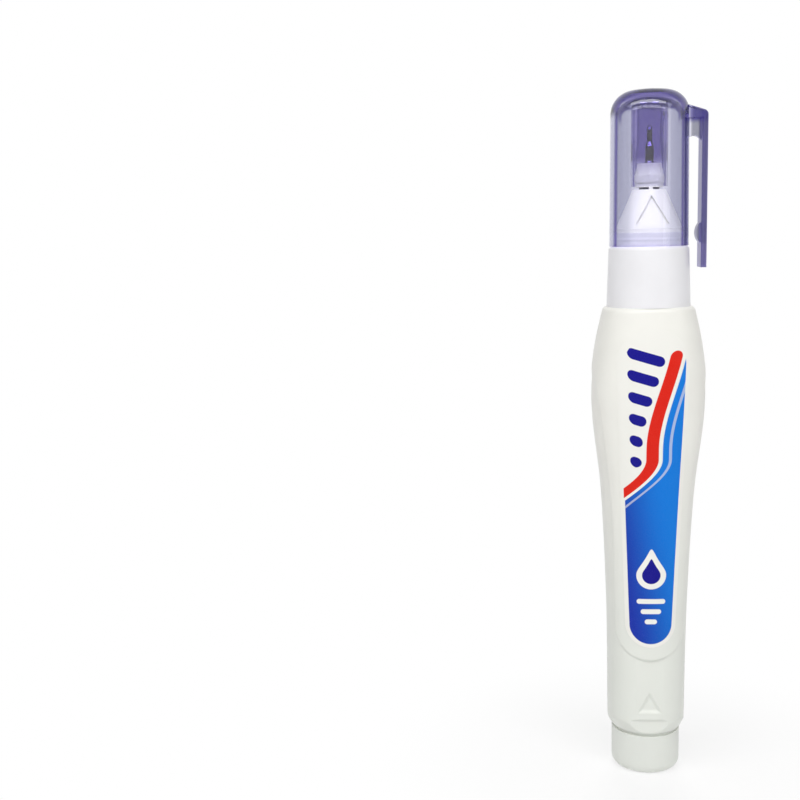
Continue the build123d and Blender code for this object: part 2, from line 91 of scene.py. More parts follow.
# Where the finishes change, in millimetres above the floor or out from the axis
# painted shade: full at the lower level, gone at the upper level
FOOT_SHADE_LEVELS = (18.0, 74.0)
# painted shadow in the slit under the nose: its level, half height, radius and soft edge
SLIT_LEVEL, SLIT_HALF, SLIT_RADIUS, SLIT_BLUR = 118.02, 0.3, 2.6, 0.04
# zones where the cap's tint deepens, partly for thick plastic and partly as painted shade;
# CLIP_SATIN is where the clip turns satin
CLIP_SATIN, CLIP_SIDE, CLIP_FACE = (7.9, 8.5), (7.6, 8.2), (9.3, 9.7)
BRIDGE_REACH, BRIDGE_LEVEL = (7.2, 8.0), (130.0, 131.2)
CAP_MOUTH, CAP_CROWN = (107.0, 107.6), (134.2, 135.6)
DOME_SKIN, DOME_LEVEL, DOME_SIDE = (130.0, 132.0), (131.0, 133.0), (3.2, 5.2)
SKIN_BLUR = 0.1
# painted shade: the sleeve turns deeper violet between these levels
SLEEVE_SHADE_LEVELS = (121.0, 125.0)
# bands of the tip with painted highlights; the root and end bands are also bumped
TIP_ROOT, TIP_END = (122.8, 123.4), (129.2, 129.8)
TIP_SHOULDER, SHOULDER_HALF = 126.6, 0.45

# How far a surface is turned from the viewer, from 0 for square on to 1 for edge on
# painted shade on the clear plastic, partly for its longer path: deeper at a slant, darkest near
# edge on, near black on the dome's edge
SLANT_STARTS = (0.04, 0.17)
EDGE_STARTS, EDGE_ENDS = (0.36, 0.45), (0.47, 0.62)
RIM_STARTS = (0.36, 0.55)
# the tip's painted highlights fade out between these
HIGHLIGHT_FADES = (0.08, 0.3)

# Studio, in metres
FLOOR_HALF = 4.0
FLOOR_CLEARS = (0.008, 0.06)  # distances from the axis between which the floor turns white
SOFTBOX_AIM = (0.0, 0.0, 0.075)
SOFTBOXES = {  # place and size
    "key": ((-0.08, -0.40, 0.66), (1.30, 0.19)),
    "fill": ((0.42, -0.42, 0.20), (0.24, 0.24)),
    "front": ((-0.16, -0.62, 0.12), (0.50, 0.30)),
    "back": ((0.06, 0.58, 0.46), (0.34, 0.34)),
}
NOT_IN_GLOSS = ("front", "back")
NOT_THROUGH_PLASTIC = ("fill", "front", "back")
NEAREST_SEEN = 0.01
SENSOR_WIDTH = 36.0  # in millimetres
WHITE = (1.0, 1.0, 1.0, 1.0)

# Columns of the bottle's rings, and inputs of its tree that are named after its sizes
RING_COLUMNS = ("level", "half_width", "half_depth", "squareness", "shown", "limit")
BOTTLE_LENGTHS = (
    *("Pad Height", "Pad Blend", "Pad Low", "Pad Bow", "Flat Front", "Flat Low", "Band Front"),
    *("Arrow Base", "Arrow Half", "Arrow Height", "Arrow Depth", "Arrow Blend", "Step Blend"),
    *("Seam Depth", "Seam Half"),
)


def number(name, description, value, **options):
    """Property for one number."""
    return bpy.props.FloatProperty(name=name, description=description, default=value, **options)


def numbers(name, description, values, **options):
    """Property for a row of numbers."""
    return bpy.props.FloatVectorProperty(
        name=name, description=description, size=len(values), default=values, **options
    )


def count(name, description, value):
    """Property for one whole number."""
    return bpy.props.IntProperty(name=name, description=description, default=value)


def length(name, description, millimetres):
    """Property for one size, given in millimetres."""
    return number(name, description, millimetres * MM, unit="LENGTH", precision=5)


def lengths(name, description, millimetres):
    """Property for a row of sizes, given in millimetres."""
    metres = [value * MM for value in millimetres]
    return numbers(name, description, metres, unit="LENGTH", precision=5)


def colour(name, description, *parts):
    """Property for one scene-linear colour."""
    return numbers(name, description, parts, subtype="COLOR", min=0.0, max=1.0)


def angle(name, description, degrees):
    """Property for one angle, given in degrees."""
    return number(name, description, math.radians(degrees), subtype="ANGLE")


def power(name, description, watts):
    """Property for one lamp's power, given in watts."""
    return number(name, description, watts, unit="POWER")


def group(kind, name):
    """Property for one group of settings."""
    return bpy.props.PointerProperty(type=kind, name=name, description=name)


class BottleSizes(bpy.types.PropertyGroup):
    """Sizes of the blown squeeze bottle."""

    levels: lengths("Levels", "Heights of the stations", (9.0, 36.0, 57.93, 79.0, 90.016, 95.2))
    widths: lengths("Widths", "Widths at the stations", (15.3, 16.1, 18.3, 22.09, 19.8, 17.6))
    depths: lengths("Depths", "Depths at the stations", (15.1, 15.5, 16.4, 18.4, 17.8, 17.0))
    squareness: number("Squareness", "Exponent of the oval, 2 for an ellipse", 2.5)
    wall: length("Wall", "Wall of the bottle", 1.4)
    shoulder_wall: length("Shoulder Wall", "Wall of the shoulder", 1.6)
    foot_rim: length("Foot Rim", "Radius of the round lower edge", 7.0)
    foot_flare: length("Foot Flare", "How far the turned edge widens", 1.3)
    foot_flare_height: length("Foot Flare Height", "Height of the turned edge", 3.2)
    foot_edge: length("Foot Edge", "Radius round the lower edge", 0.18)
    shoulder_round: length("Shoulder Round", "Radius round the shoulder", 0.8)
    foot_bore: length("Foot Bore", "Radius of the hole for the tail plug", 5.9)
    foot_bore_depth: length("Foot Bore Depth", "Depth of that hole", 5.0)
    neck_radius: length("Neck Radius", "Outside radius of the neck", 6.2)
    neck_bore: length("Neck Bore", "Radius of the hole in the neck", 5.0)
    neck_top: length("Neck Top", "Level of the neck's end", 107.6)
    pad_height: length("Pad Height", "Height of the raised label pads", 0.25)
    pad_blend: length("Pad Blend", "Half width of the pads' soft edge", 0.3)
    pad_low: length("Pad Low", "Lowest point of the pads", 24.7)
    pad_bow: length("Pad Bow", "Radius of the pads' lower end", 7.0)
    pad_levels: lengths("Pad Levels", "Heights of the pads' edges", (29.7, 57.93, 79.0, 94.6))
    pad_edges: lengths("Pad Edges", "Half widths at those heights", (6.7, 7.8, 10.375, 12.4))
    pad_fade: lengths("Pad Fade", "Heights between which the pads run out", (82.0, 93.5))
    flat_front: length("Flat Front", "Thumb flat's distance from the axis", 7.4)
    flat_low: length("Flat Low", "Lower edge of the thumb flat", 12.0)
    band_front: length("Band Front", "Distance of the band under the flat", 7.05)
    arrow_base: length("Arrow Base", "Lower edge of the arrow", 13.4)
    arrow_half: length("Arrow Half Width", "Half width of the arrow", 2.7)
    arrow_height: length("Arrow Height", "Height of the arrow", 4.9)
    arrow_depth: length("Arrow Depth", "Depth of the arrow", 0.4)
    step_blend: length("Step Blend", "Half width of the soft edge under the flat", 0.3)
    arrow_blend: length("Arrow Blend", "Half width of the arrow's soft edges", 0.42)
    seam_depth: length("Seam Depth", "Depth of the dips beside the parting line", 0.035)
    seam_half: length("Seam Half Width", "Half width of the parting line", 0.2)


class LabelSizes(bpy.types.PropertyGroup):
    """Outline of the film label and its colours."""

    film: length("Film", "Thickness of the film", 0.09)
    foot_half: length("Foot Half Width", "Radius of the label's lower end", 4.9)
    head_half: length("Head Half Width", "Radius of the label's upper end", 7.0)
    foot_level: length("Foot Level", "Centre of the lower end", 32.5)
    head_level: length("Head Level", "Centre of the upper end", 84.5)
    white: colour("White", "Unprinted film", 0.875, 0.868, 0.82)
    sky: colour("Sky", "Lighter blue of the field", 0.002, 0.190, 0.700)
    royal: colour("Royal", "Deeper blue of the field", 0.008, 0.030, 0.380)
    navy: colour("Navy", "Blue of the bars and the drop", 0.004, 0.002, 0.250)
    red: colour("Red", "Red of the ribbon", 0.720, 0.014, 0.004)


class SpringSizes(bpy.types.PropertyGroup):
    """Sizes of the valve spring."""

    wire: length("Wire", "Thickness of the wire", 0.3)
    turns: count("Turns", "Turns of the wire", 5)


class FinishColours(bpy.types.PropertyGroup):
    """Colours of the mouldings and the metal."""

    bottle: colour("Bottle", "White of the bottle", 0.880, 0.873, 0.820)
    # painted shade: the bottle's white as it is darkened at the foot
    bottle_foot_shade: colour("Bottle Foot", "Cooler white towards the foot", 0.780, 0.800, 0.745)
    collar: colour("Collar", "White of the collar", 0.860, 0.855, 0.880)
    # painted shade: the tail plug's white is dimmed like the shaded foot of the bottle
    tail: colour("Tail", "White of the tail plug", 0.780, 0.800, 0.750)
    nozzle: colour("Nozzle", "White of the nozzle, the nose and the cage", 0.955, 0.950, 0.870)
    # painted shadow: colour laid into the slit in place of its shade
    slit: colour("Slit", "Dark of the slit under the nose", 0.060, 0.050, 0.090)
    clear: colour("Clear", "Clear plastic seen square on", 0.822, 0.821, 0.891)
    # slant, deep and rim: partly the longer path through the plastic, partly painted shade at a
    # slant and edge on
    slant: colour("Slant", "Clear plastic seen at a slant", 0.581, 0.590, 0.681)
    # thick: partly thick plastic, partly painted shade, on the cap and the sleeve
    thick: colour("Thick", "Clear plastic where it is thick", 0.385, 0.325, 0.630)
    deep: colour("Deep", "Clear plastic at its thickest and edge on", 0.042, 0.022, 0.270)
    rim: colour("Rim", "Clear dome seen edge on", 0.017, 0.009, 0.108)
    film: colour("Film", "What the clear surface lets through of a lamp", 0.995, 0.995, 1.0)
    violet: colour("Violet", "What the clear plastic's depth lets through", 0.215, 0.170, 0.660)
    # painted highlight: bright colour on the tip where it faces the viewer
    painted_highlight: colour("Polish", "Bright spots of the tip", 0.900, 0.890, 0.900)
    # painted shade: the steel is near black in place of the dark surroundings it reflects
    steel: colour("Steel", "Tip and needle", 0.040, 0.036, 0.052)
    wire: colour("Wire", "Spring and ball", 0.520, 0.520, 0.530)


class StageSizes(bpy.types.PropertyGroup):
    """Camera and lights of the studio."""

    camera_place: lengths("Camera Place", "Where the camera stands", (-29.5, -240.4, 112.9))
    camera_yaw: angle("Yaw", "Turn to the right", -4.79)
    camera_pitch: angle("Pitch", "Tilt downwards", 8.49)
    camera_roll: angle("Roll", "Lean to the side", -1.32)
    lens: number("Lens", "Focal length", 54.0, unit="CAMERA")
    ambient: number("Ambient", "Strength of the light from all round", 0.20)
    key_power: power("Key Power", "Power of the main softbox", 5.0)
    fill_power: power("Fill Power", "Power of the softbox on the right", 0.25)
    front_power: power("Front Power", "Power of the low softbox in front", 0.5)
    back_power: power("Back Power", "Power of the softbox behind", 1.6)
    bounces: count("Bounces", "How often light may turn inside the clear plastic", 24)
    floor: colour("Floor", "White of the floor", 0.95, 0.95, 0.95)


class PenSettings(bpy.types.PropertyGroup):
    """Everything about the pen that a user would change."""

    bottle: group(BottleSizes, "Bottle")
    label: group(LabelSizes, "Label")
    spring: group(SpringSizes, "Spring")
    finish: group(FinishColours, "Finish")
    stage: group(StageSizes, "Stage")


class Wire:
    """Output of a node that takes part in Python expressions."""

    def __init__(self, graph, socket):
        self.graph = graph
        self.socket = socket

    def math(self, operation, *values):
        """Math node on the given values."""
        return self.graph.add("ShaderNodeMath", dict(enumerate(values)), {"operation": operation})

    def __add__(self, other):
        return self.math("ADD", self, other)

    __radd__ = __add__

    def __sub__(self, other):
        return self.math("SUBTRACT", self, other)

    def __rsub__(self, other):
        return self.math("SUBTRACT", other, self)

    def __mul__(self, other):
        return self.math("MULTIPLY", self, other)

    __rmul__ = __mul__

    def __truediv__(self, other):
        return self.math("DIVIDE", self, other)

    def __rtruediv__(self, other):
        return self.math("DIVIDE", other, self)

    def __pow__(self, other):
        return self.math("POWER", self, other)

    def __mod__(self, other):
        return self.math("FLOORED_MODULO", self, other)

    def __abs__(self):
        return self.math("ABSOLUTE", self)

    def least(self, other):
        return self.math("MINIMUM", self, other)

    def most(self, other):
        return self.math("MAXIMUM", self, other)

    def spread(self, span):
        """Value from 0 to 1 brought to a span round 0."""
        return (self - 0.5) * span

    def ramp(self, start, end, low=0.0, high=1.0, smooth=True):
        """Value that goes from low at start to high at end, and stays there."""
        settings = {"interpolation_type": "SMOOTHSTEP" if smooth else "LINEAR", "clamp": True}
        bounds = {"From Min": start, "From Max": end, "To Min": low, "To Max": high}
        return self.graph.add("ShaderNodeMapRange", {"Value": self, **bounds}, settings)


class Graph:
    """Node tree that is built from expressions."""

    def __init__(self, tree):
        self.tree = tree

    def add(self, kind, sockets=None, settings=None, output=0):
        """New node: its settings are set first, then the values or links of its sockets."""
        node = self.tree.nodes.new(kind)
        for name, value in (settings or {}).items():
            setattr(node, name, value)
        for name, value in (sockets or {}).items():
            if isinstance(value, Wire):
                self.tree.links.new(value.socket, node.inputs[name])
            else:
                node.inputs[name].default_value = value
        return Wire(self, node.outputs[output]) if node.outputs else None

    def mix(self, factor, first, second):
        """Colour between two colours, by the node's sockets for colours."""
        sockets = {0: factor, 6: opaque(first), 7: opaque(second)}
        return self.add("ShaderNodeMix", sockets, {"data_type": "RGBA"}, output=2)

    def split(self, vector):
        """The three parts of a vector."""
        node = self.add("ShaderNodeSeparateXYZ", {0: vector}).socket.node
        return [Wire(self, socket) for socket in node.outputs]

    def vector(self, x, y, z):
        """Vector with the three parts."""
        return self.add("ShaderNodeCombineXYZ", {"X": x, "Y": y, "Z": z})

    def turned_away(self):
        """0 on a surface that faces the viewer, and 1 on one that is seen edge on."""
        return self.add("ShaderNodeLayerWeight", {"Blend": 0.5}, output="Facing")


def distance(across, along):
    """Length of the vector with two components."""
    return (across * across + along * along) ** 0.5


def opaque(value):
    """Four-part colour for a socket, or the wire as it is."""
    return value if isinstance(value, Wire) else (*value[:3], 1.0)


def dimmed(tone, share):
    """A share of a colour."""
    return [part * share for part in tone]


def new_finish(name):
    """Empty material and the graph that fills it."""
    material = bpy.data.materials.new(name)
    material.use_nodes = True
    material.node_tree.nodes.clear()
    return material, Graph(material.node_tree)


def close_finish(graph, sockets):
    """Principled surface on the given sockets."""
    shader = graph.add("ShaderNodeBsdfPrincipled", sockets)
    graph.add("ShaderNodeOutputMaterial", {"Surface": shader})


def object_place(graph):
    """Object coordinates, and their three parts in millimetres."""
    place = graph.add("ShaderNodeTexCoord", output="Object")
    return place, [part / MM for part in graph.split(place)]


def noise(graph, place, grain, detail=2.0, roughness=0.5):
    """Noise whose features are about one grain across, from 0 to 1."""
    sockets = {"Vector": place, "Scale": 1 / grain, "Detail": detail, "Roughness": roughness}
    return graph.add("ShaderNodeTexNoise", sockets)


def bump(graph, height, depth, strength=1.0, normal=None):
    """Normal bent by a height from 0 to 1."""
    sockets = {"Height": height, "Distance": depth, "Strength": strength}
    if normal:
        sockets["Normal"] = normal
    return graph.add("ShaderNodeBump", sockets)


def moulded_white(name, tone, roughness, shading=None):
    """White moulded plastic with a faint mould texture, soft sinks and uneven gloss."""
    material, graph = new_finish(name)
    place, parts = object_place(graph)
    clouds = noise(graph, place, grain=0.006, detail=3.0)
    texture = noise(graph, place, grain=0.00022, roughness=0.6)
    tint = graph.mix(clouds.ramp(0.3, 0.7), dimmed(tone, 0.975), tone)
    if shading:
        tint = shading(graph, parts, tint)
    rough = roughness + clouds.spread(0.10) + texture.spread(0.12)
    sinks = bump(graph, clouds, depth=0.00006, strength=0.5)
    normal = bump(graph, texture, depth=0.000012, strength=0.5, normal=sinks)
    close_finish(graph, {"Base Color": tint, "Roughness": rough, "Normal": normal, "IOR": 1.5})
    return material


def painted_foot_shade(foot_shade_tone):
    """The bottle's white, with painted shade that makes it darker and greyer towards the foot."""

    def shading(graph, parts, tint):
        return graph.mix(parts[2].ramp(*FOOT_SHADE_LEVELS), foot_shade_tone, tint)

    return shading


def painted_slit_shadow(slit_shadow_tone):
    """The nose's white, with painted shadow in the open slit at its foot."""

    def shading(graph, parts, tint):
        x, y, z = parts
        # the painted shadow fills the slit's height inside its radius
        in_slit = (SLIT_HALF - abs(z - SLIT_LEVEL)).least(SLIT_RADIUS - distance(x, y))
        return graph.mix(in_slit.ramp(-SLIT_BLUR, SLIT_BLUR), tint, slit_shadow_tone)

    return shading


def clear_violet(name, finish, shading, density, skin_radius=0.0, clip_satin=0.0):
    """Clear tinted plastic, deeper where light goes a long way through it; its tint turns deeper at
    a slant and near edge on, partly for the longer path and partly as painted shade.
    """
    material, graph = new_finish(name)
    place, (x, y, z) = object_place(graph)
    clouds = noise(graph, place, grain=0.004)
    scuffs = noise(graph, place, grain=0.0005, detail=4.0, roughness=0.7)
    scuffed = scuffs.ramp(0.58, 0.78, low=0.004, high=0.05)
    turned = graph.turned_away()
    away = distance(x, y)
    # painted shade along the outer skin where it is seen near edge on
    edge_shade = turned.ramp(*EDGE_STARTS) * turned.ramp(*EDGE_ENDS, low=1.0, high=0.20)
    skin = away.ramp(skin_radius - SKIN_BLUR, skin_radius + SKIN_BLUR).most(z.ramp(*DOME_SKIN))
    dome = z.ramp(*DOME_LEVEL) * away.ramp(*DOME_SIDE)
    tint = graph.mix(turned.ramp(*SLANT_STARTS), finish.clear, finish.slant)
    tint = shading(graph, (x, y, z), tint, finish)
    tint = graph.mix(edge_shade * skin, tint, finish.deep)
    tint = graph.mix(turned.ramp(*RIM_STARTS) * dome, tint, finish.rim)
    sockets = {
        "Base Color": tint,
        "Roughness": scuffed + x.ramp(*CLIP_SATIN, high=clip_satin),
        "Normal": bump(graph, clouds, depth=0.00001, strength=0.3),
        "IOR": 1.52,
        "Transmission Weight": 1.0,
    }
    shader = graph.add("ShaderNodeBsdfPrincipled", sockets)
    passing = graph.add("ShaderNodeBsdfTransparent", {"Color": opaque(finish.film)})
    from_lamp = graph.add("ShaderNodeLightPath", output="Is Shadow Ray")
    surface = graph.add("ShaderNodeMixShader", {0: from_lamp, 1: shader, 2: passing})
    inside = {"Color": opaque(finish.violet), "Density": density}
    depth = graph.add("ShaderNodeVolumeAbsorption", inside)
    graph.add("ShaderNodeOutputMaterial", {"Surface": surface, "Volume": depth})
    return material


def cap_depth_and_shade(graph, parts, tint, finish):
    """Deeper violet on the cap's crown, shoulder and mouth, and on the clip and its bridge: partly
    the thick plastic and partly painted shade.
    """
    x, y, z = parts
    crown = z.ramp(*CAP_CROWN)
    mouth = z.ramp(*CAP_MOUTH, low=0.3, high=0.0)
    shoulder = crown * distance(x, y).ramp(*DOME_SIDE)
    bridge = x.ramp(*BRIDGE_REACH) * z.ramp(*BRIDGE_LEVEL)
    tint = graph.mix(x.ramp(*CLIP_SIDE), tint, dimmed(finish.slant, 0.58))
    tint = graph.mix(x.ramp(*CLIP_FACE) * 0.65, tint, finish.deep)
    tint = graph.mix((crown * 0.85).most(mouth), tint, finish.thick)
    return graph.mix(shoulder.most(bridge) * 0.8, tint, finish.deep)


def painted_sleeve_shade(graph, parts, _tint, finish):
    """Clear round the nose at any slant, with painted shade above it: deeper violet where the sleeve
    narrows.
    """
    return graph.mix(parts[2].ramp(*SLEEVE_SHADE_LEVELS), finish.clear, finish.thick)


def new_steel(name, tone, ring_pitch, roughness):
    """Turned steel with fine marks round the axis and uneven shine, before it is closed."""
    material, graph = new_finish(name)
    place, parts = object_place(graph)
    height = graph.vector(0.0, 0.0, parts[2] * MM)
    rings = noise(graph, height, ring_pitch, detail=3.0, roughness=0.6)
    clouds = noise(graph, place, grain=0.0012)
    sockets = {
        "Base Color": graph.mix(rings, dimmed(tone, 0.82), tone),
        "Metallic": 1.0,
        "Roughness": roughness + rings.spread(0.16) + clouds.spread(0.08),
        "Normal": bump(graph, rings, depth=0.00001, strength=0.4),
    }
    return material, graph, parts[2], sockets


def drawn_steel(name, tone):
    """Bright steel of the spring and the ball."""
    material, graph, _, sockets = new_steel(name, tone, ring_pitch=0.0002, roughness=0.22)
    close_finish(graph, sockets)
    return material


def tip_steel(name, tone, painted_highlight):
    """Near-black steel, painted dark for the dark surroundings it reflects, with painted highlights:
    bright spots at the tip's root, shoulder and writing end where they face the viewer, and bumps at
    the root and writing end.
    """
    material, graph, z, sockets = new_steel(name, tone, ring_pitch=0.0001, roughness=0.16)
    root = z.ramp(*TIP_ROOT, low=1.0, high=0.0, smooth=False)
    end = z.ramp(*TIP_END, low=1.0, high=0.0, smooth=False)
    shoulder = SHOULDER_HALF - abs(z - TIP_SHOULDER)
    highlight_bands = root.most(1.0 - end).ramp(0.0, 0.2).most(shoulder.ramp(0.0, 0.1))
    # painted highlights, strongest where the tip faces the viewer
    spots = highlight_bands * graph.turned_away().ramp(*HIGHLIGHT_FADES, low=1.0, high=0.0)
    sockets["Base Color"] = graph.mix(spots, sockets["Base Color"], painted_highlight)
    sockets["Normal"] = bump(graph, root + end, depth=0.00028, normal=sockets["Normal"])
    close_finish(graph, sockets)
    return material


def printed_film(name, sizes):
    """Glossy film with a plain blue, red and navy print, without words or signs."""
    material, graph = new_finish(name)
    place, (x, _, z) = object_place(graph)
    blur = 0.06  # half width of the print's soft edges, in millimetres like all lengths here
    rim = 0.75  # unprinted edge of the film

    def inside(depth):
        return depth.ramp(-blur, blur)

    def beyond(low, high):
        """How far a point lies below or above a stretch of heights."""
        return (low - z).most(z - high).most(0.0)

    def bar(half_height, across, reach, rise):
        """Depth inside a level bar with round ends."""
        return half_height - distance((abs(across) - reach).most(0.0), rise)

    def drop(size, level=42.6, radius=1.45, pull=0.55, taper=0.3):
        """Depth inside a drop that is round below its level and drawn out to a point above."""
        rise = (z - level) / size
        point = rise.most(0.0)
        across = x / size * (1.0 + point * point * taper)
        return (radius - distance(across, rise.least(0.0) + point * pull)) * size

    foot, head = sizes.foot_level / MM, sizes.head_level / MM
    half = z.ramp(foot, head, sizes.foot_half / MM, sizes.head_half / MM, smooth=False)
    margin = half - distance(x, beyond(foot, head)) - rim

    # Blue field, which ends on the left at a crest with two bends, and its pale stripe
    crest = z.ramp(52.0, 66.0, low=-9.0, high=1.9) + z.ramp(68.0, 92.0, high=5.2)
    height = z.ramp(30.0, 84.0, smooth=False)
    paler = (height * 0.55 + (x + 5.0) * 0.055).ramp(0.05, 0.75)
    stripe_inset, stripe_half = 1.5, 0.28
    stripe = stripe_half - abs(x - crest - stripe_inset)
    blue = graph.mix(paler, sizes.royal, sizes.sky)
    blue = graph.mix(inside(stripe) * 0.45, blue, sizes.white)
    tint = graph.mix(inside(margin.least(x - crest)), sizes.white, blue)

    # Red ribbon along the crest
    ribbon_offset, ribbon_half, ribbon_overlap = 1.95, 1.2, 0.2
    ribbon = ribbon_half - distance(x - (crest - ribbon_offset), beyond(58.2, 86.0))
    tint = graph.mix(inside(ribbon.least(margin + ribbon_overlap)), tint, sizes.red)

    # Slanted navy bars, which grow upwards with the room beside the ribbon
    rows, pitch, lean, lowest = 6, 4.2, 0.3, 62.4
    slanted = z + x * lean - lowest
    left_end = 3.0 - half
    right_end = crest - 4.95
    middle = (left_end + right_end) * 0.5
    reach = (right_end - left_end) * 0.5
    bars = bar(1.05, x - middle, reach, slanted % pitch - pitch / 2)
    bars = bars.least(slanted).least(pitch * rows - slanted).least(margin - 0.6)
    tint = graph.mix(inside(bars), tint, sizes.navy)

    # Drop with a white edge, and three ripples under it
    for size, ink in ((2.0, sizes.white), (1.25, sizes.navy)):
        tint = graph.mix(inside(drop(size)), tint, ink)
    for level, reach in ((37.2, 2.3), (35.1, 1.5), (33.0, 0.7)):
        tint = graph.mix(inside(bar(0.5, x, reach, z - level)), tint, sizes.white)

    grain = noise(graph, place, grain=0.00012)
    clouds = noise(graph, place, grain=0.005)
    waves = bump(graph, clouds, depth=0.00004, strength=0.5)
    sockets = {
        "Base Color": graph.mix(grain.ramp(0.3, 0.7) * 0.012, tint, sizes.white),
        "Roughness": 0.34 + grain.spread(0.10) + clouds.spread(0.08),
        "Normal": bump(graph, grain, depth=0.000004, strength=0.5, normal=waves),
        "Specular IOR Level": 0.12,
    }
    close_finish(graph, sockets)
    return material


def floor_finish(name, tone):
    """Pale floor that keeps the shadow near the pen and is plain white further off."""
    material, graph = new_finish(name)
    place, (x, y, _) = object_place(graph)
    speck = noise(graph, place, grain=0.002)
    tint = graph.mix(speck, dimmed(tone, 0.985), tone)
    lit = graph.add("ShaderNodeBsdfDiffuse", {"Color": tint})
    white = graph.add("ShaderNodeEmission", {"Color": WHITE, "Strength": 1.0})
    near, far = [reach / MM for reach in FLOOR_CLEARS]
    away = distance(x, y).ramp(near, far, low=0.72)
    mixed = graph.add("ShaderNodeMixShader", {0: away * seen_rays(graph), 1: lit, 2: white})
    graph.add("ShaderNodeOutputMaterial", {"Surface": mixed})
    return material


def seen_rays(graph):
    """1 for what the camera sees, straight or in gloss and clear plastic, and 0 for light."""
    path = graph.add("ShaderNodeLightPath").socket.node.outputs
    names = ("Is Camera Ray", "Is Glossy Ray", "Is Transmission Ray")
    camera, glossy, clear = [Wire(graph, path[name]) for name in names]
    return camera.most(glossy).most(clear)


def outline_slope(levels, values, index):
    """Slope at a station, between those of the stretches on its two sides."""
    low, high = max(index - 1, 0), min(index + 1, len(levels) - 1)
    below, above = levels[index] - levels[low], levels[high] - levels[index]
    rise_below, rise_above = values[index] - values[low], values[high] - values[index]
    if index in (low, high):
        return (rise_below + rise_above) / (below + above)
    return (below * (rise_above / above) + above * (rise_below / below)) / (below + above)


def outline_value(levels, values, level):
    """Value at a level on a smooth curve through the stations."""
    index = sum(station <= level for station in levels[1:-1])
    span = levels[index + 1] - levels[index]
    share = (level - levels[index]) / span
    ease = share * share * (3 - 2 * share)
    start_pull = share * (1 - share) ** 2 * span * outline_slope(levels, values, index)
    end_pull = share**2 * (share - 1) * span * outline_slope(levels, values, index + 1)
    return values[index] + ease * (values[index + 1] - values[index]) + start_pull + end_pull


def steps(low, high, total):
    """Evenly spaced values from low to high, both included."""
    return [low + (high - low) * step / (total - 1) for step in range(total)]


def turned_radius(sizes, level):
    """Radius of the round form that the bottle's lower end is turned down to, at a level."""
    base = sizes.levels[0]
    if level > base + sizes.foot_flare_height:
        return NO_LIMIT
    span = Vector((sizes.foot_flare, sizes.foot_flare_height))
    inwards = Vector(FLARE_BEND).normalized()
    bend = span.length_squared / (2 * span.dot(inwards))
    centre = Vector((sizes.foot_rim, base)) + bend * inwards
    return centre.x + math.sqrt(bend**2 - (level - centre.y) ** 2)


def bottle_rings(sizes):
    """Rings round the bottle's wall, each a row of RING_COLUMNS; shown is 1 on the outside."""
    levels = list(sizes.levels)
    widths = list(sizes.widths)
    depths = list(sizes.depths)
    base, top = levels[0], levels[-1]

    def oval(level, inset, shown, limit=NO_LIMIT):
        half_width = outline_value(levels, widths, level) / 2 - inset
        half_depth = outline_value(levels, depths, level) / 2 - inset
        return (level, half_width, half_depth, sizes.squareness, shown, limit)

    def round_ring(level, radius):
        return (level, radius, radius, 2.0, 0.0, NO_LIMIT)

    cavity_low = base + sizes.foot_bore_depth
    cavity_top = top - sizes.shoulder_wall
    rings = [round_ring(base, sizes.foot_bore)]
    for turn in steps(0.0, QUARTER, EDGE_RINGS):
        level = base + sizes.foot_edge * (1 - math.cos(turn))
        limit = turned_radius(sizes, level) - sizes.foot_edge * (1 - math.sin(turn))
        rings.append(oval(level, 0.0, 1.0, limit))
    fine_top = sizes.pad_low + FINE_REACH * sizes.pad_bow
    fine = steps(base + sizes.foot_edge, fine_top, LOWER_RINGS)[1:]
    coarse = steps(fine_top, top - sizes.shoulder_round, UPPER_RINGS)[1:]
    rings += [oval(level, 0.0, 1.0, turned_radius(sizes, level)) for level in fine + coarse]
    for turn in steps(0.0, QUARTER, EDGE_RINGS)[1:]:
        drop = sizes.shoulder_round * (1 - math.sin(turn))
        rings.append(oval(top - drop, sizes.shoulder_round * (1 - math.cos(turn)), 1.0))
    rings.append(round_ring(top, sizes.neck_radius))
    rings.append(round_ring(sizes.neck_top, sizes.neck_radius))
    rings.append(round_ring(sizes.neck_top, sizes.neck_bore))
    rings.append(round_ring(cavity_top, sizes.neck_bore))
    rings += [oval(level, sizes.wall, 0.0) for level in steps(cavity_top, cavity_low, INNER_RINGS)]
    rings.append(round_ring(cavity_low, sizes.foot_bore))
    return rings


def pad_edge(sizes, level):
    """Half width of the raised pads at a level."""
    levels = list(sizes.pad_levels)
    inside = min(max(level, levels[0]), levels[-1])
    return outline_value(levels, list(sizes.pad_edges), inside)


def label_rows(sizes):
    """Rows up the label: level and half width."""
    foot, foot_half = sizes.foot_level, sizes.foot_half
    head, head_half = sizes.head_level, sizes.head_half
    rows = []
    for turn in steps(0.0, QUARTER, LABEL_END_ROWS):
        rows.append((foot - foot_half * math.cos(turn), foot_half * math.sin(turn)))
    for share in steps(0.0, 1.0, LABEL_ROWS)[1:-1]:
        rows.append((foot + share * (head - foot), foot_half + share * (head_half - foot_half)))
    for turn in steps(QUARTER, 0.0, LABEL_END_ROWS):
        rows.append((head + head_half * math.cos(turn), head_half * math.sin(turn)))
    return rows


def new_object(name, data):
    """Object in the scene with the given data."""
    piece = bpy.data.objects.new(name, data)
    bpy.context.scene.collection.objects.link(piece)
    return piece


def station_row(name, columns):
    """Row of points whose named columns are attributes, for a tree to read."""
    mesh = bpy.data.meshes.new(name)
    mesh.vertices.add(len(next(iter(columns.values()))))
    for column, values in columns.items():
        attribute = mesh.attributes.new(column, "FLOAT", "POINT")
        attribute.data.foreach_set("value", values)
    return new_object(name, mesh)


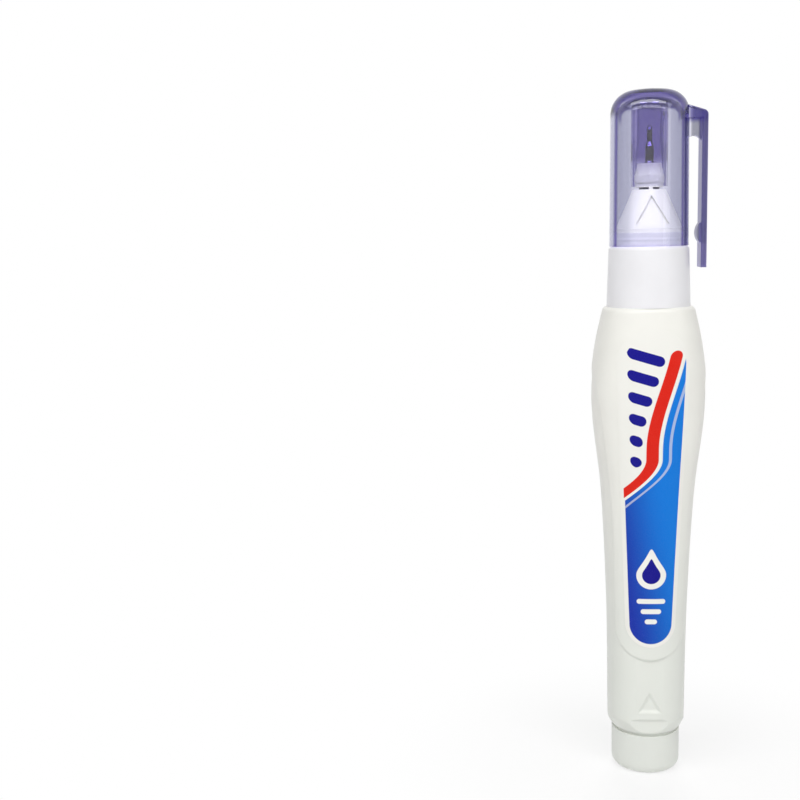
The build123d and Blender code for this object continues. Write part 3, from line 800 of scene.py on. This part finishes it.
def new_tree(name, inputs):
    """Geometry tree with named inputs: its graph, and the inputs' wires and identifiers."""
    tree = bpy.data.node_groups.new(name, "GeometryNodeTree")
    tree.interface.new_socket("Geometry", in_out="INPUT", socket_type="NodeSocketGeometry")
    tree.interface.new_socket("Geometry", in_out="OUTPUT", socket_type="NodeSocketGeometry")
    identifiers = {}
    for label, kind in inputs.items():
        socket = tree.interface.new_socket(label, in_out="INPUT", socket_type=kind)
        identifiers[label] = socket.identifier
    graph = Graph(tree)
    source = tree.nodes.new("NodeGroupInput")
    wires = {socket.name: Wire(graph, socket) for socket in source.outputs if socket.name}
    return graph, wires, identifiers


def end_tree(graph, geometry, material):
    """Realize Instances, Set Material and the output, which every tree ends in."""
    real = graph.add("GeometryNodeRealizeInstances", {"Geometry": geometry})
    done = graph.add("GeometryNodeSetMaterial", {"Geometry": real, "Material": material})
    graph.add("NodeGroupOutput", {"Geometry": done})


def merged(graph, geometry):
    """Geometry in which points in one place are one."""
    sockets = {"Geometry": geometry, "Distance": SAME_POINT}
    return graph.add("GeometryNodeMergeByDistance", sockets)


def grow(piece, tree, values):
    """Run a tree on a piece and keep the result as its plain mesh."""
    graph, identifiers = tree
    modifier = piece.modifiers.new(graph.tree.name, "NODES")
    modifier.node_group = graph.tree
    for label, value in values.items():
        modifier[identifiers[label]] = value
    depsgraph = bpy.context.evaluated_depsgraph_get()
    evaluated = piece.evaluated_get(depsgraph)
    mesh = bpy.data.meshes.new_from_object(evaluated, depsgraph=depsgraph)
    mesh.name = piece.name
    piece.modifiers.clear()
    piece.data = mesh
    mesh.shade_smooth()
    mesh.set_sharp_from_angle(angle=SHARP_EDGE)


def station_grid(graph, wires, columns, closed):
    """Grid with one row for each point of the station row, and the columns sampled on it."""
    stations = wires["Geometry"]
    sockets = {"Geometry": stations}
    rows = graph.add("GeometryNodeAttributeDomainSize", sockets, {"component": "MESH"})
    along = rows + 1 if closed else rows
    counts = {"Vertices X": wires["Sides"] + 1, "Vertices Y": along}
    sheet = graph.add("GeometryNodeMeshGrid", {"Size X": 1.0, "Size Y": 1.0, **counts})
    chart = Wire(graph, sheet.socket.node.outputs["UV Map"])
    share, rise, _ = graph.split(chart)
    step = rise * (along - 1)
    row = step.math("ROUND", step) % rows
    sampled = []
    for column in columns:
        value = graph.add("GeometryNodeInputNamedAttribute", {"Name": column}, OF_NUMBERS)
        sockets = {"Geometry": stations, "Value": value, "Index": row}
        sampled.append(graph.add("GeometryNodeSampleIndex", sockets, OF_NUMBERS))
    return sheet, share, sampled


def bottle_tree():
    """Tree that skins the bottle's rings and shapes the pads, the flat, the arrow and the seam."""
    inputs = {
        "Sides": "NodeSocketInt",
        "Fade Low": "NodeSocketFloat",
        "Fade High": "NodeSocketFloat",
        **dict.fromkeys(BOTTLE_LENGTHS, "NodeSocketFloat"),
        "Finish": "NodeSocketMaterial",
    }
    graph, wires, identifiers = new_tree("Bottle Skin", inputs)
    columns = (*RING_COLUMNS, "pad_edge")
    sheet, share, sampled = station_grid(graph, wires, columns, closed=True)
    level, half_width, half_depth, squareness, shown, limit, edge = sampled
    turn = share * math.tau
    across = turn.math("COSINE", turn)
    along = turn.math("SINE", turn)

    def radius(swell):
        wide = (abs(across) / (half_width + swell)) ** squareness
        deep = (abs(along) / (half_depth + swell)) ** squareness
        return ((wide + deep) ** (-1.0 / squareness)).least(limit)

    plain = radius(0.0)
    x = plain * across
    y = plain * along

    pad_low, pad_bow, pad_blend = wires["Pad Low"], wires["Pad Bow"], wires["Pad Blend"]
    bow_drop = (level - pad_low - pad_bow).least(0.0)
    in_bow = pad_bow - distance(x, bow_drop)
    in_pad = in_bow.least(edge - abs(x))
    above_bow = level.ramp(pad_low + pad_bow, pad_low + pad_bow * PAD_SETTLES)
    in_pad = in_pad + (edge - abs(x) - in_pad) * above_bow
    fade = level.ramp(wires["Fade Low"], wires["Fade High"], low=1.0, high=0.0, smooth=False)
    pad = in_pad.ramp(-1.0 * pad_blend, pad_blend) * fade

    seam_half = wires["Seam Half"]
    beside_seam = abs(y).ramp(seam_half, seam_half * SEAM_FADE, low=1.0, high=0.0)
    dip = abs(y).ramp(0.0, seam_half) * beside_seam
    swell = (pad * wires["Pad Height"] - dip * (1.0 - pad) * wires["Seam Depth"]) * shown
    full = radius(swell)
    side = full * across
    front = full * along

    step_low = wires["Flat Low"] - wires["Step Blend"]
    step_high = wires["Flat Low"] + wires["Step Blend"]
    plane = level.ramp(step_low, step_high, wires["Band Front"], wires["Flat Front"])
    past_flat = (-1.0 * plane - front).most(0.0) * (1.0 - pad) * (1.0 - above_bow) * shown

    arrow_half, arrow_height = wires["Arrow Half"], wires["Arrow Height"]
    base_rise = level - wires["Arrow Base"]
    arrow_side = (arrow_half - abs(x)) * arrow_height - base_rise * arrow_half
    in_arrow = base_rise.least(arrow_side / distance(arrow_half, arrow_height))
    on_front = front.ramp(-MM, 0.0, low=1.0, high=0.0)
    arrow = in_arrow.ramp(0.0, wires["Arrow Blend"] * 2.0) * on_front * shown

    place = graph.vector(side, front + past_flat + arrow * wires["Arrow Depth"], level)
    skin = graph.add("GeometryNodeSetPosition", {"Geometry": sheet, "Position": place})
    end_tree(graph, merged(graph, skin), wires["Finish"])
    return graph, identifiers


def label_tree():
    """Tree that lays a film of the label's outline on the bottle's front."""
    inputs = {
        "Sides": "NodeSocketInt",
        "Film": "NodeSocketFloat",
        "Start": "NodeSocketFloat",
        "Carrier": "NodeSocketObject",
        "Finish": "NodeSocketMaterial",
    }
    graph, wires, identifiers = new_tree("Label Film", inputs)
    columns = ("level", "half_width")
    sheet, share, (level, half_width) = station_grid(graph, wires, columns, closed=False)
    start = graph.vector((share * 2.0 - 1.0) * half_width, wires["Start"], level)
    flat = graph.add("GeometryNodeSetPosition", {"Geometry": sheet, "Position": start})
    carrier = graph.add("GeometryNodeObjectInfo", {"Object": wires["Carrier"]}, output="Geometry")
    sockets = {"Target Geometry": carrier, "Ray Direction": BACKWARDS, "Ray Length": 1.0}
    hit = graph.add("GeometryNodeRaycast", sockets, OF_NUMBERS, output="Hit Position")
    laid = graph.add("GeometryNodeSetPosition", {"Geometry": flat, "Position": hit})
    laid = merged(graph, laid)
    sockets = {"Mesh": laid, "Offset Scale": wires["Film"], "Individual": False}
    raised = graph.add("GeometryNodeExtrudeMesh", sockets, {"mode": "FACES"})
    under = graph.add("GeometryNodeFlipFaces", {"Mesh": laid})
    joined = graph.add("GeometryNodeJoinGeometry", {"Geometry": raised})
    graph.tree.links.new(under.socket, joined.socket.node.inputs["Geometry"])
    end_tree(graph, merged(graph, joined), wires["Finish"])
    return graph, identifiers


def spring_tree():
    """Tree that winds a round wire up a helix."""
    inputs = {
        **dict.fromkeys(("Turns", "Radius", "Wire Radius", "Low", "Height"), "NodeSocketFloat"),
        "Finish": "NodeSocketMaterial",
    }
    graph, wires, identifiers = new_tree("Coil Spring", inputs)
    sockets = {
        "Resolution": HELIX_STEPS,
        "Rotations": wires["Turns"],
        "Start Radius": wires["Radius"],
        "End Radius": wires["Radius"],
        "Height": wires["Height"],
        "Reverse": True,
    }
    helix = graph.add("GeometryNodeCurveSpiral", sockets)
    rise = graph.vector(0.0, 0.0, wires["Low"])
    helix = graph.add("GeometryNodeSetPosition", {"Geometry": helix, "Offset": rise})
    sockets = {"Resolution": WIRE_SIDES, "Radius": wires["Wire Radius"]}
    section = graph.add("GeometryNodeCurvePrimitiveCircle", sockets)
    sockets = {"Curve": helix, "Profile Curve": section, "Fill Caps": True}
    coil = graph.add("GeometryNodeCurveToMesh", sockets)
    end_tree(graph, coil, wires["Finish"])
    return graph, identifiers


def dress(node, material):
    """Give a CAD node's object a better material."""
    slots = frame["nodes"][node].data.materials
    slots.clear()
    slots.append(material)


class PEN_OT_stage(bpy.types.Operator):
    """Make the floor, the white surround, the softboxes and the camera"""

    bl_idname = "correction_pen.stage"
    bl_label = "Stage"

    def execute(self, context):
        stage = context.scene.correction_pen.stage
        self.make_floor(stage)
        self.make_surround(context, stage)
        for name, (place, size) in SOFTBOXES.items():
            watts = getattr(stage, f"{name}_power")
            softbox = self.make_softbox(f"{name}_softbox", place, size, watts)
            softbox.visible_glossy = name not in NOT_IN_GLOSS
            softbox.visible_transmission = name not in NOT_THROUGH_PLASTIC
        for limit in ("max_bounces", "glossy_bounces", "transmission_bounces"):
            setattr(context.scene.cycles, limit, stage.bounces)
        self.make_camera(context, stage)
        context.scene.view_settings.view_transform = "Standard"
        return {"FINISHED"}

    def make_floor(self, stage):
        half = FLOOR_HALF
        corners = [(-half, -half, 0.0), (half, -half, 0.0), (half, half, 0.0), (-half, half, 0.0)]
        mesh = bpy.data.meshes.new("floor")
        mesh.from_pydata(corners, [], [(0, 1, 2, 3)])
        mesh.materials.append(floor_finish("white_floor", stage.floor))
        floor = new_object("floor", mesh)

    def make_surround(self, context, stage):
        world = bpy.data.worlds.new("white_surround")
        world.use_nodes = True
        world.node_tree.nodes.clear()
        graph = Graph(world.node_tree)
        light, white = [
            graph.add("ShaderNodeBackground", {"Color": WHITE, "Strength": strength})
            for strength in (stage.ambient, 1.0)
        ]
        sky = graph.add("ShaderNodeMixShader", {0: seen_rays(graph), 1: light, 2: white})
        graph.add("ShaderNodeOutputWorld", {"Surface": sky})
        context.scene.world = world

    def make_softbox(self, name, place, size, watts):
        light = bpy.data.lights.new(name, "AREA")
        light.shape = "RECTANGLE"
        light.size, light.size_y = size
        light.energy = watts
        softbox = new_object(name, light)
        softbox.location = place
        aim = Vector(SOFTBOX_AIM) - Vector(place)
        softbox.rotation_euler = aim.to_track_quat("-Z", "Y").to_euler()
        return softbox

    def make_camera(self, context, stage):
        lens = bpy.data.cameras.new("camera")
        lens.lens = stage.lens
        lens.sensor_width = SENSOR_WIDTH
        lens.clip_start = NEAREST_SEEN
        camera = new_object("camera", lens)
        place = Matrix.Translation(stage.camera_place)
        yaw = Matrix.Rotation(-stage.camera_yaw, 4, "Z")
        pitch = Matrix.Rotation(QUARTER - stage.camera_pitch, 4, "X")
        roll = Matrix.Rotation(stage.camera_roll, 4, "Z")
        camera.matrix_world = place @ yaw @ pitch @ roll
        context.scene.camera = camera


class PEN_OT_bottle(bpy.types.Operator):
    """Blow the squeeze bottle with its soft-edged pads, front flat, arrow and parting line"""

    bl_idname = "correction_pen.bottle"
    bl_label = "Bottle"

    def execute(self, context):
        pen = context.scene.correction_pen
        sizes = pen.bottle
        rings = bottle_rings(sizes)
        columns = dict(zip(RING_COLUMNS, zip(*rings)))
        columns["pad_edge"] = [pad_edge(sizes, level) for level in columns["level"]]
        bottle = station_row("blown_bottle", columns)
        # painted shade that darkens the bottle towards its foot
        foot = painted_foot_shade(pen.finish.bottle_foot_shade)
        values = {
            label: getattr(sizes, label.lower().replace(" ", "_")) for label in BOTTLE_LENGTHS
        }
        values["Fade Low"], values["Fade High"] = sizes.pad_fade
        values["Sides"] = BOTTLE_SIDES
        values["Finish"] = moulded_white("bottle_plastic", pen.finish.bottle, 0.38, foot)
        grow(bottle, bottle_tree(), values)
        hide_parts("bottle")
        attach(bottle, "barrel")
        return {"FINISHED"}


class PEN_OT_label(bpy.types.Operator):
    """Lay the printed film on the bottle's front pad"""

    bl_idname = "correction_pen.label"
    bl_label = "Label"

    def execute(self, context):
        sizes = context.scene.correction_pen.label
        columns = dict(zip(("level", "half_width"), zip(*label_rows(sizes))))
        label = station_row("film_label", columns)
        values = {
            "Sides": LABEL_SIDES,
            "Film": sizes.film,
            "Start": LABEL_START,
            "Carrier": bpy.data.objects["blown_bottle"],
            "Finish": printed_film("printed_film", sizes),
        }
        grow(label, label_tree(), values)
        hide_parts("front_label")
        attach(label, "barrel")
        return {"FINISHED"}


class PEN_OT_mouldings(bpy.types.Operator):
    """Finish the white collar, nozzle, tip holder, tail plug and valve cage"""

    bl_idname = "correction_pen.mouldings"
    bl_label = "White Mouldings"

    def execute(self, context):
        finish = context.scene.correction_pen.finish
        dress("collar", moulded_white("collar_plastic", finish.collar, 0.33))
        # the tail plug's white carries painted shade
        dress("tail_plug", moulded_white("tail_plastic", finish.tail, 0.42))
        # painted shadow in the slit under the nose
        slit = painted_slit_shadow(finish.slit)
        dress("tip_holder", moulded_white("nose_plastic", finish.nozzle, 0.35, slit))
        nozzle = moulded_white("nozzle_plastic", finish.nozzle, 0.35)
        for node in ("nozzle", "valve_cage"):
            dress(node, nozzle)
        return {"FINISHED"}


class PEN_OT_cap(bpy.types.Operator):
    """Finish the clear violet cap and its seal sleeve"""

    bl_idname = "correction_pen.cap"
    bl_label = "Clear Cap"

    def execute(self, context):
        finish = context.scene.correction_pen.finish
        name = "clear_violet_plastic"
        # the cap's tint carries painted shade
        dress("cap", clear_violet(name, finish, cap_depth_and_shade, 80.0, skin_radius=7.1, clip_satin=0.28))
        # the sleeve's upper part carries painted shade
        dress("inner_cap", clear_violet("sleeve_plastic", finish, painted_sleeve_shade, 40.0))
        return {"FINISHED"}


class PEN_OT_spring(bpy.types.Operator):
    """Wind the valve spring, which the needle's collar squeezes"""

    bl_idname = "correction_pen.spring"
    bl_label = "Valve Spring"

    def execute(self, context):
        pen = context.scene.correction_pen
        low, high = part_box("valve_spring")
        wire = pen.spring.wire
        height = high.z - low.z
        spring = new_object("coil_spring", bpy.data.meshes.new("coil_spring"))
        values = {
            "Turns": float(pen.spring.turns),
            "Radius": (high.x - low.x - wire) / 2,
            "Wire Radius": wire / 2,
            "Low": low.z + wire / 2,
            "Height": height - wire,
            "Finish": drawn_steel("spring_steel_drawn", pen.finish.wire),
        }
        grow(spring, spring_tree(), values)
        press = next(joint for joint in frame["joints"] if joint["name"] == "needle_press")
        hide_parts("valve_spring")
        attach(spring, "barrel")
        1 - press["range_m"][1] / height
        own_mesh(spring)
        return {"FINISHED"}


class PEN_OT_metalwork(bpy.types.Operator):
    """Finish the steel tip, needle and mixing ball"""

    bl_idname = "correction_pen.metalwork"
    bl_label = "Metalwork"

    def execute(self, context):
        finish = context.scene.correction_pen.finish
        # the tip steel carries painted highlights
        tip = tip_steel("tip_steel_turned", finish.steel, finish.painted_highlight)
        for node in ("metal_tip", "valve_needle"):
            dress(node, tip)
        dress("mixing_ball", drawn_steel("ball_steel", finish.wire))
        return {"FINISHED"}


class PEN_PT_sidebar(bpy.types.Panel):
    """Sizes, colours and steps of the correction pen"""

    bl_idname = "PEN_PT_sidebar"
    bl_label = "Correction Pen"
    bl_space_type = "VIEW_3D"
    bl_region_type = "UI"
    bl_category = "Correction Pen"

    def draw(self, context):
        pen = context.scene.correction_pen
        for settings in (pen.bottle, pen.label, pen.spring, pen.finish, pen.stage):
            box = self.layout.box()
            for name in settings.bl_rna.properties.keys():
                if name not in ("rna_type", "name"):
                    box.prop(settings, name)
        for operator in OPERATORS:
            self.layout.operator(operator.bl_idname)


GROUPS = (BottleSizes, LabelSizes, SpringSizes, FinishColours, StageSizes, PenSettings)
OPERATORS = (
    PEN_OT_stage,
    PEN_OT_bottle,
    PEN_OT_label,
    PEN_OT_mouldings,
    PEN_OT_cap,
    PEN_OT_spring,
    PEN_OT_metalwork,
)


def register():
    for kind in (*GROUPS, *OPERATORS, PEN_PT_sidebar):
        bpy.utils.register_class(kind)
    bpy.types.Scene.correction_pen = group(PenSettings, "Correction Pen")


def unregister():
    del bpy.types.Scene.correction_pen
    for kind in reversed((*GROUPS, *OPERATORS, PEN_PT_sidebar)):
        bpy.utils.unregister_class(kind)


def main():
    register()
    bpy.ops.correction_pen.stage()
    bpy.ops.correction_pen.bottle()
    bpy.ops.correction_pen.label()
    bpy.ops.correction_pen.mouldings()
    bpy.ops.correction_pen.cap()
    bpy.ops.correction_pen.spring()
    bpy.ops.correction_pen.metalwork()


if __name__ == "__main__":
    main()
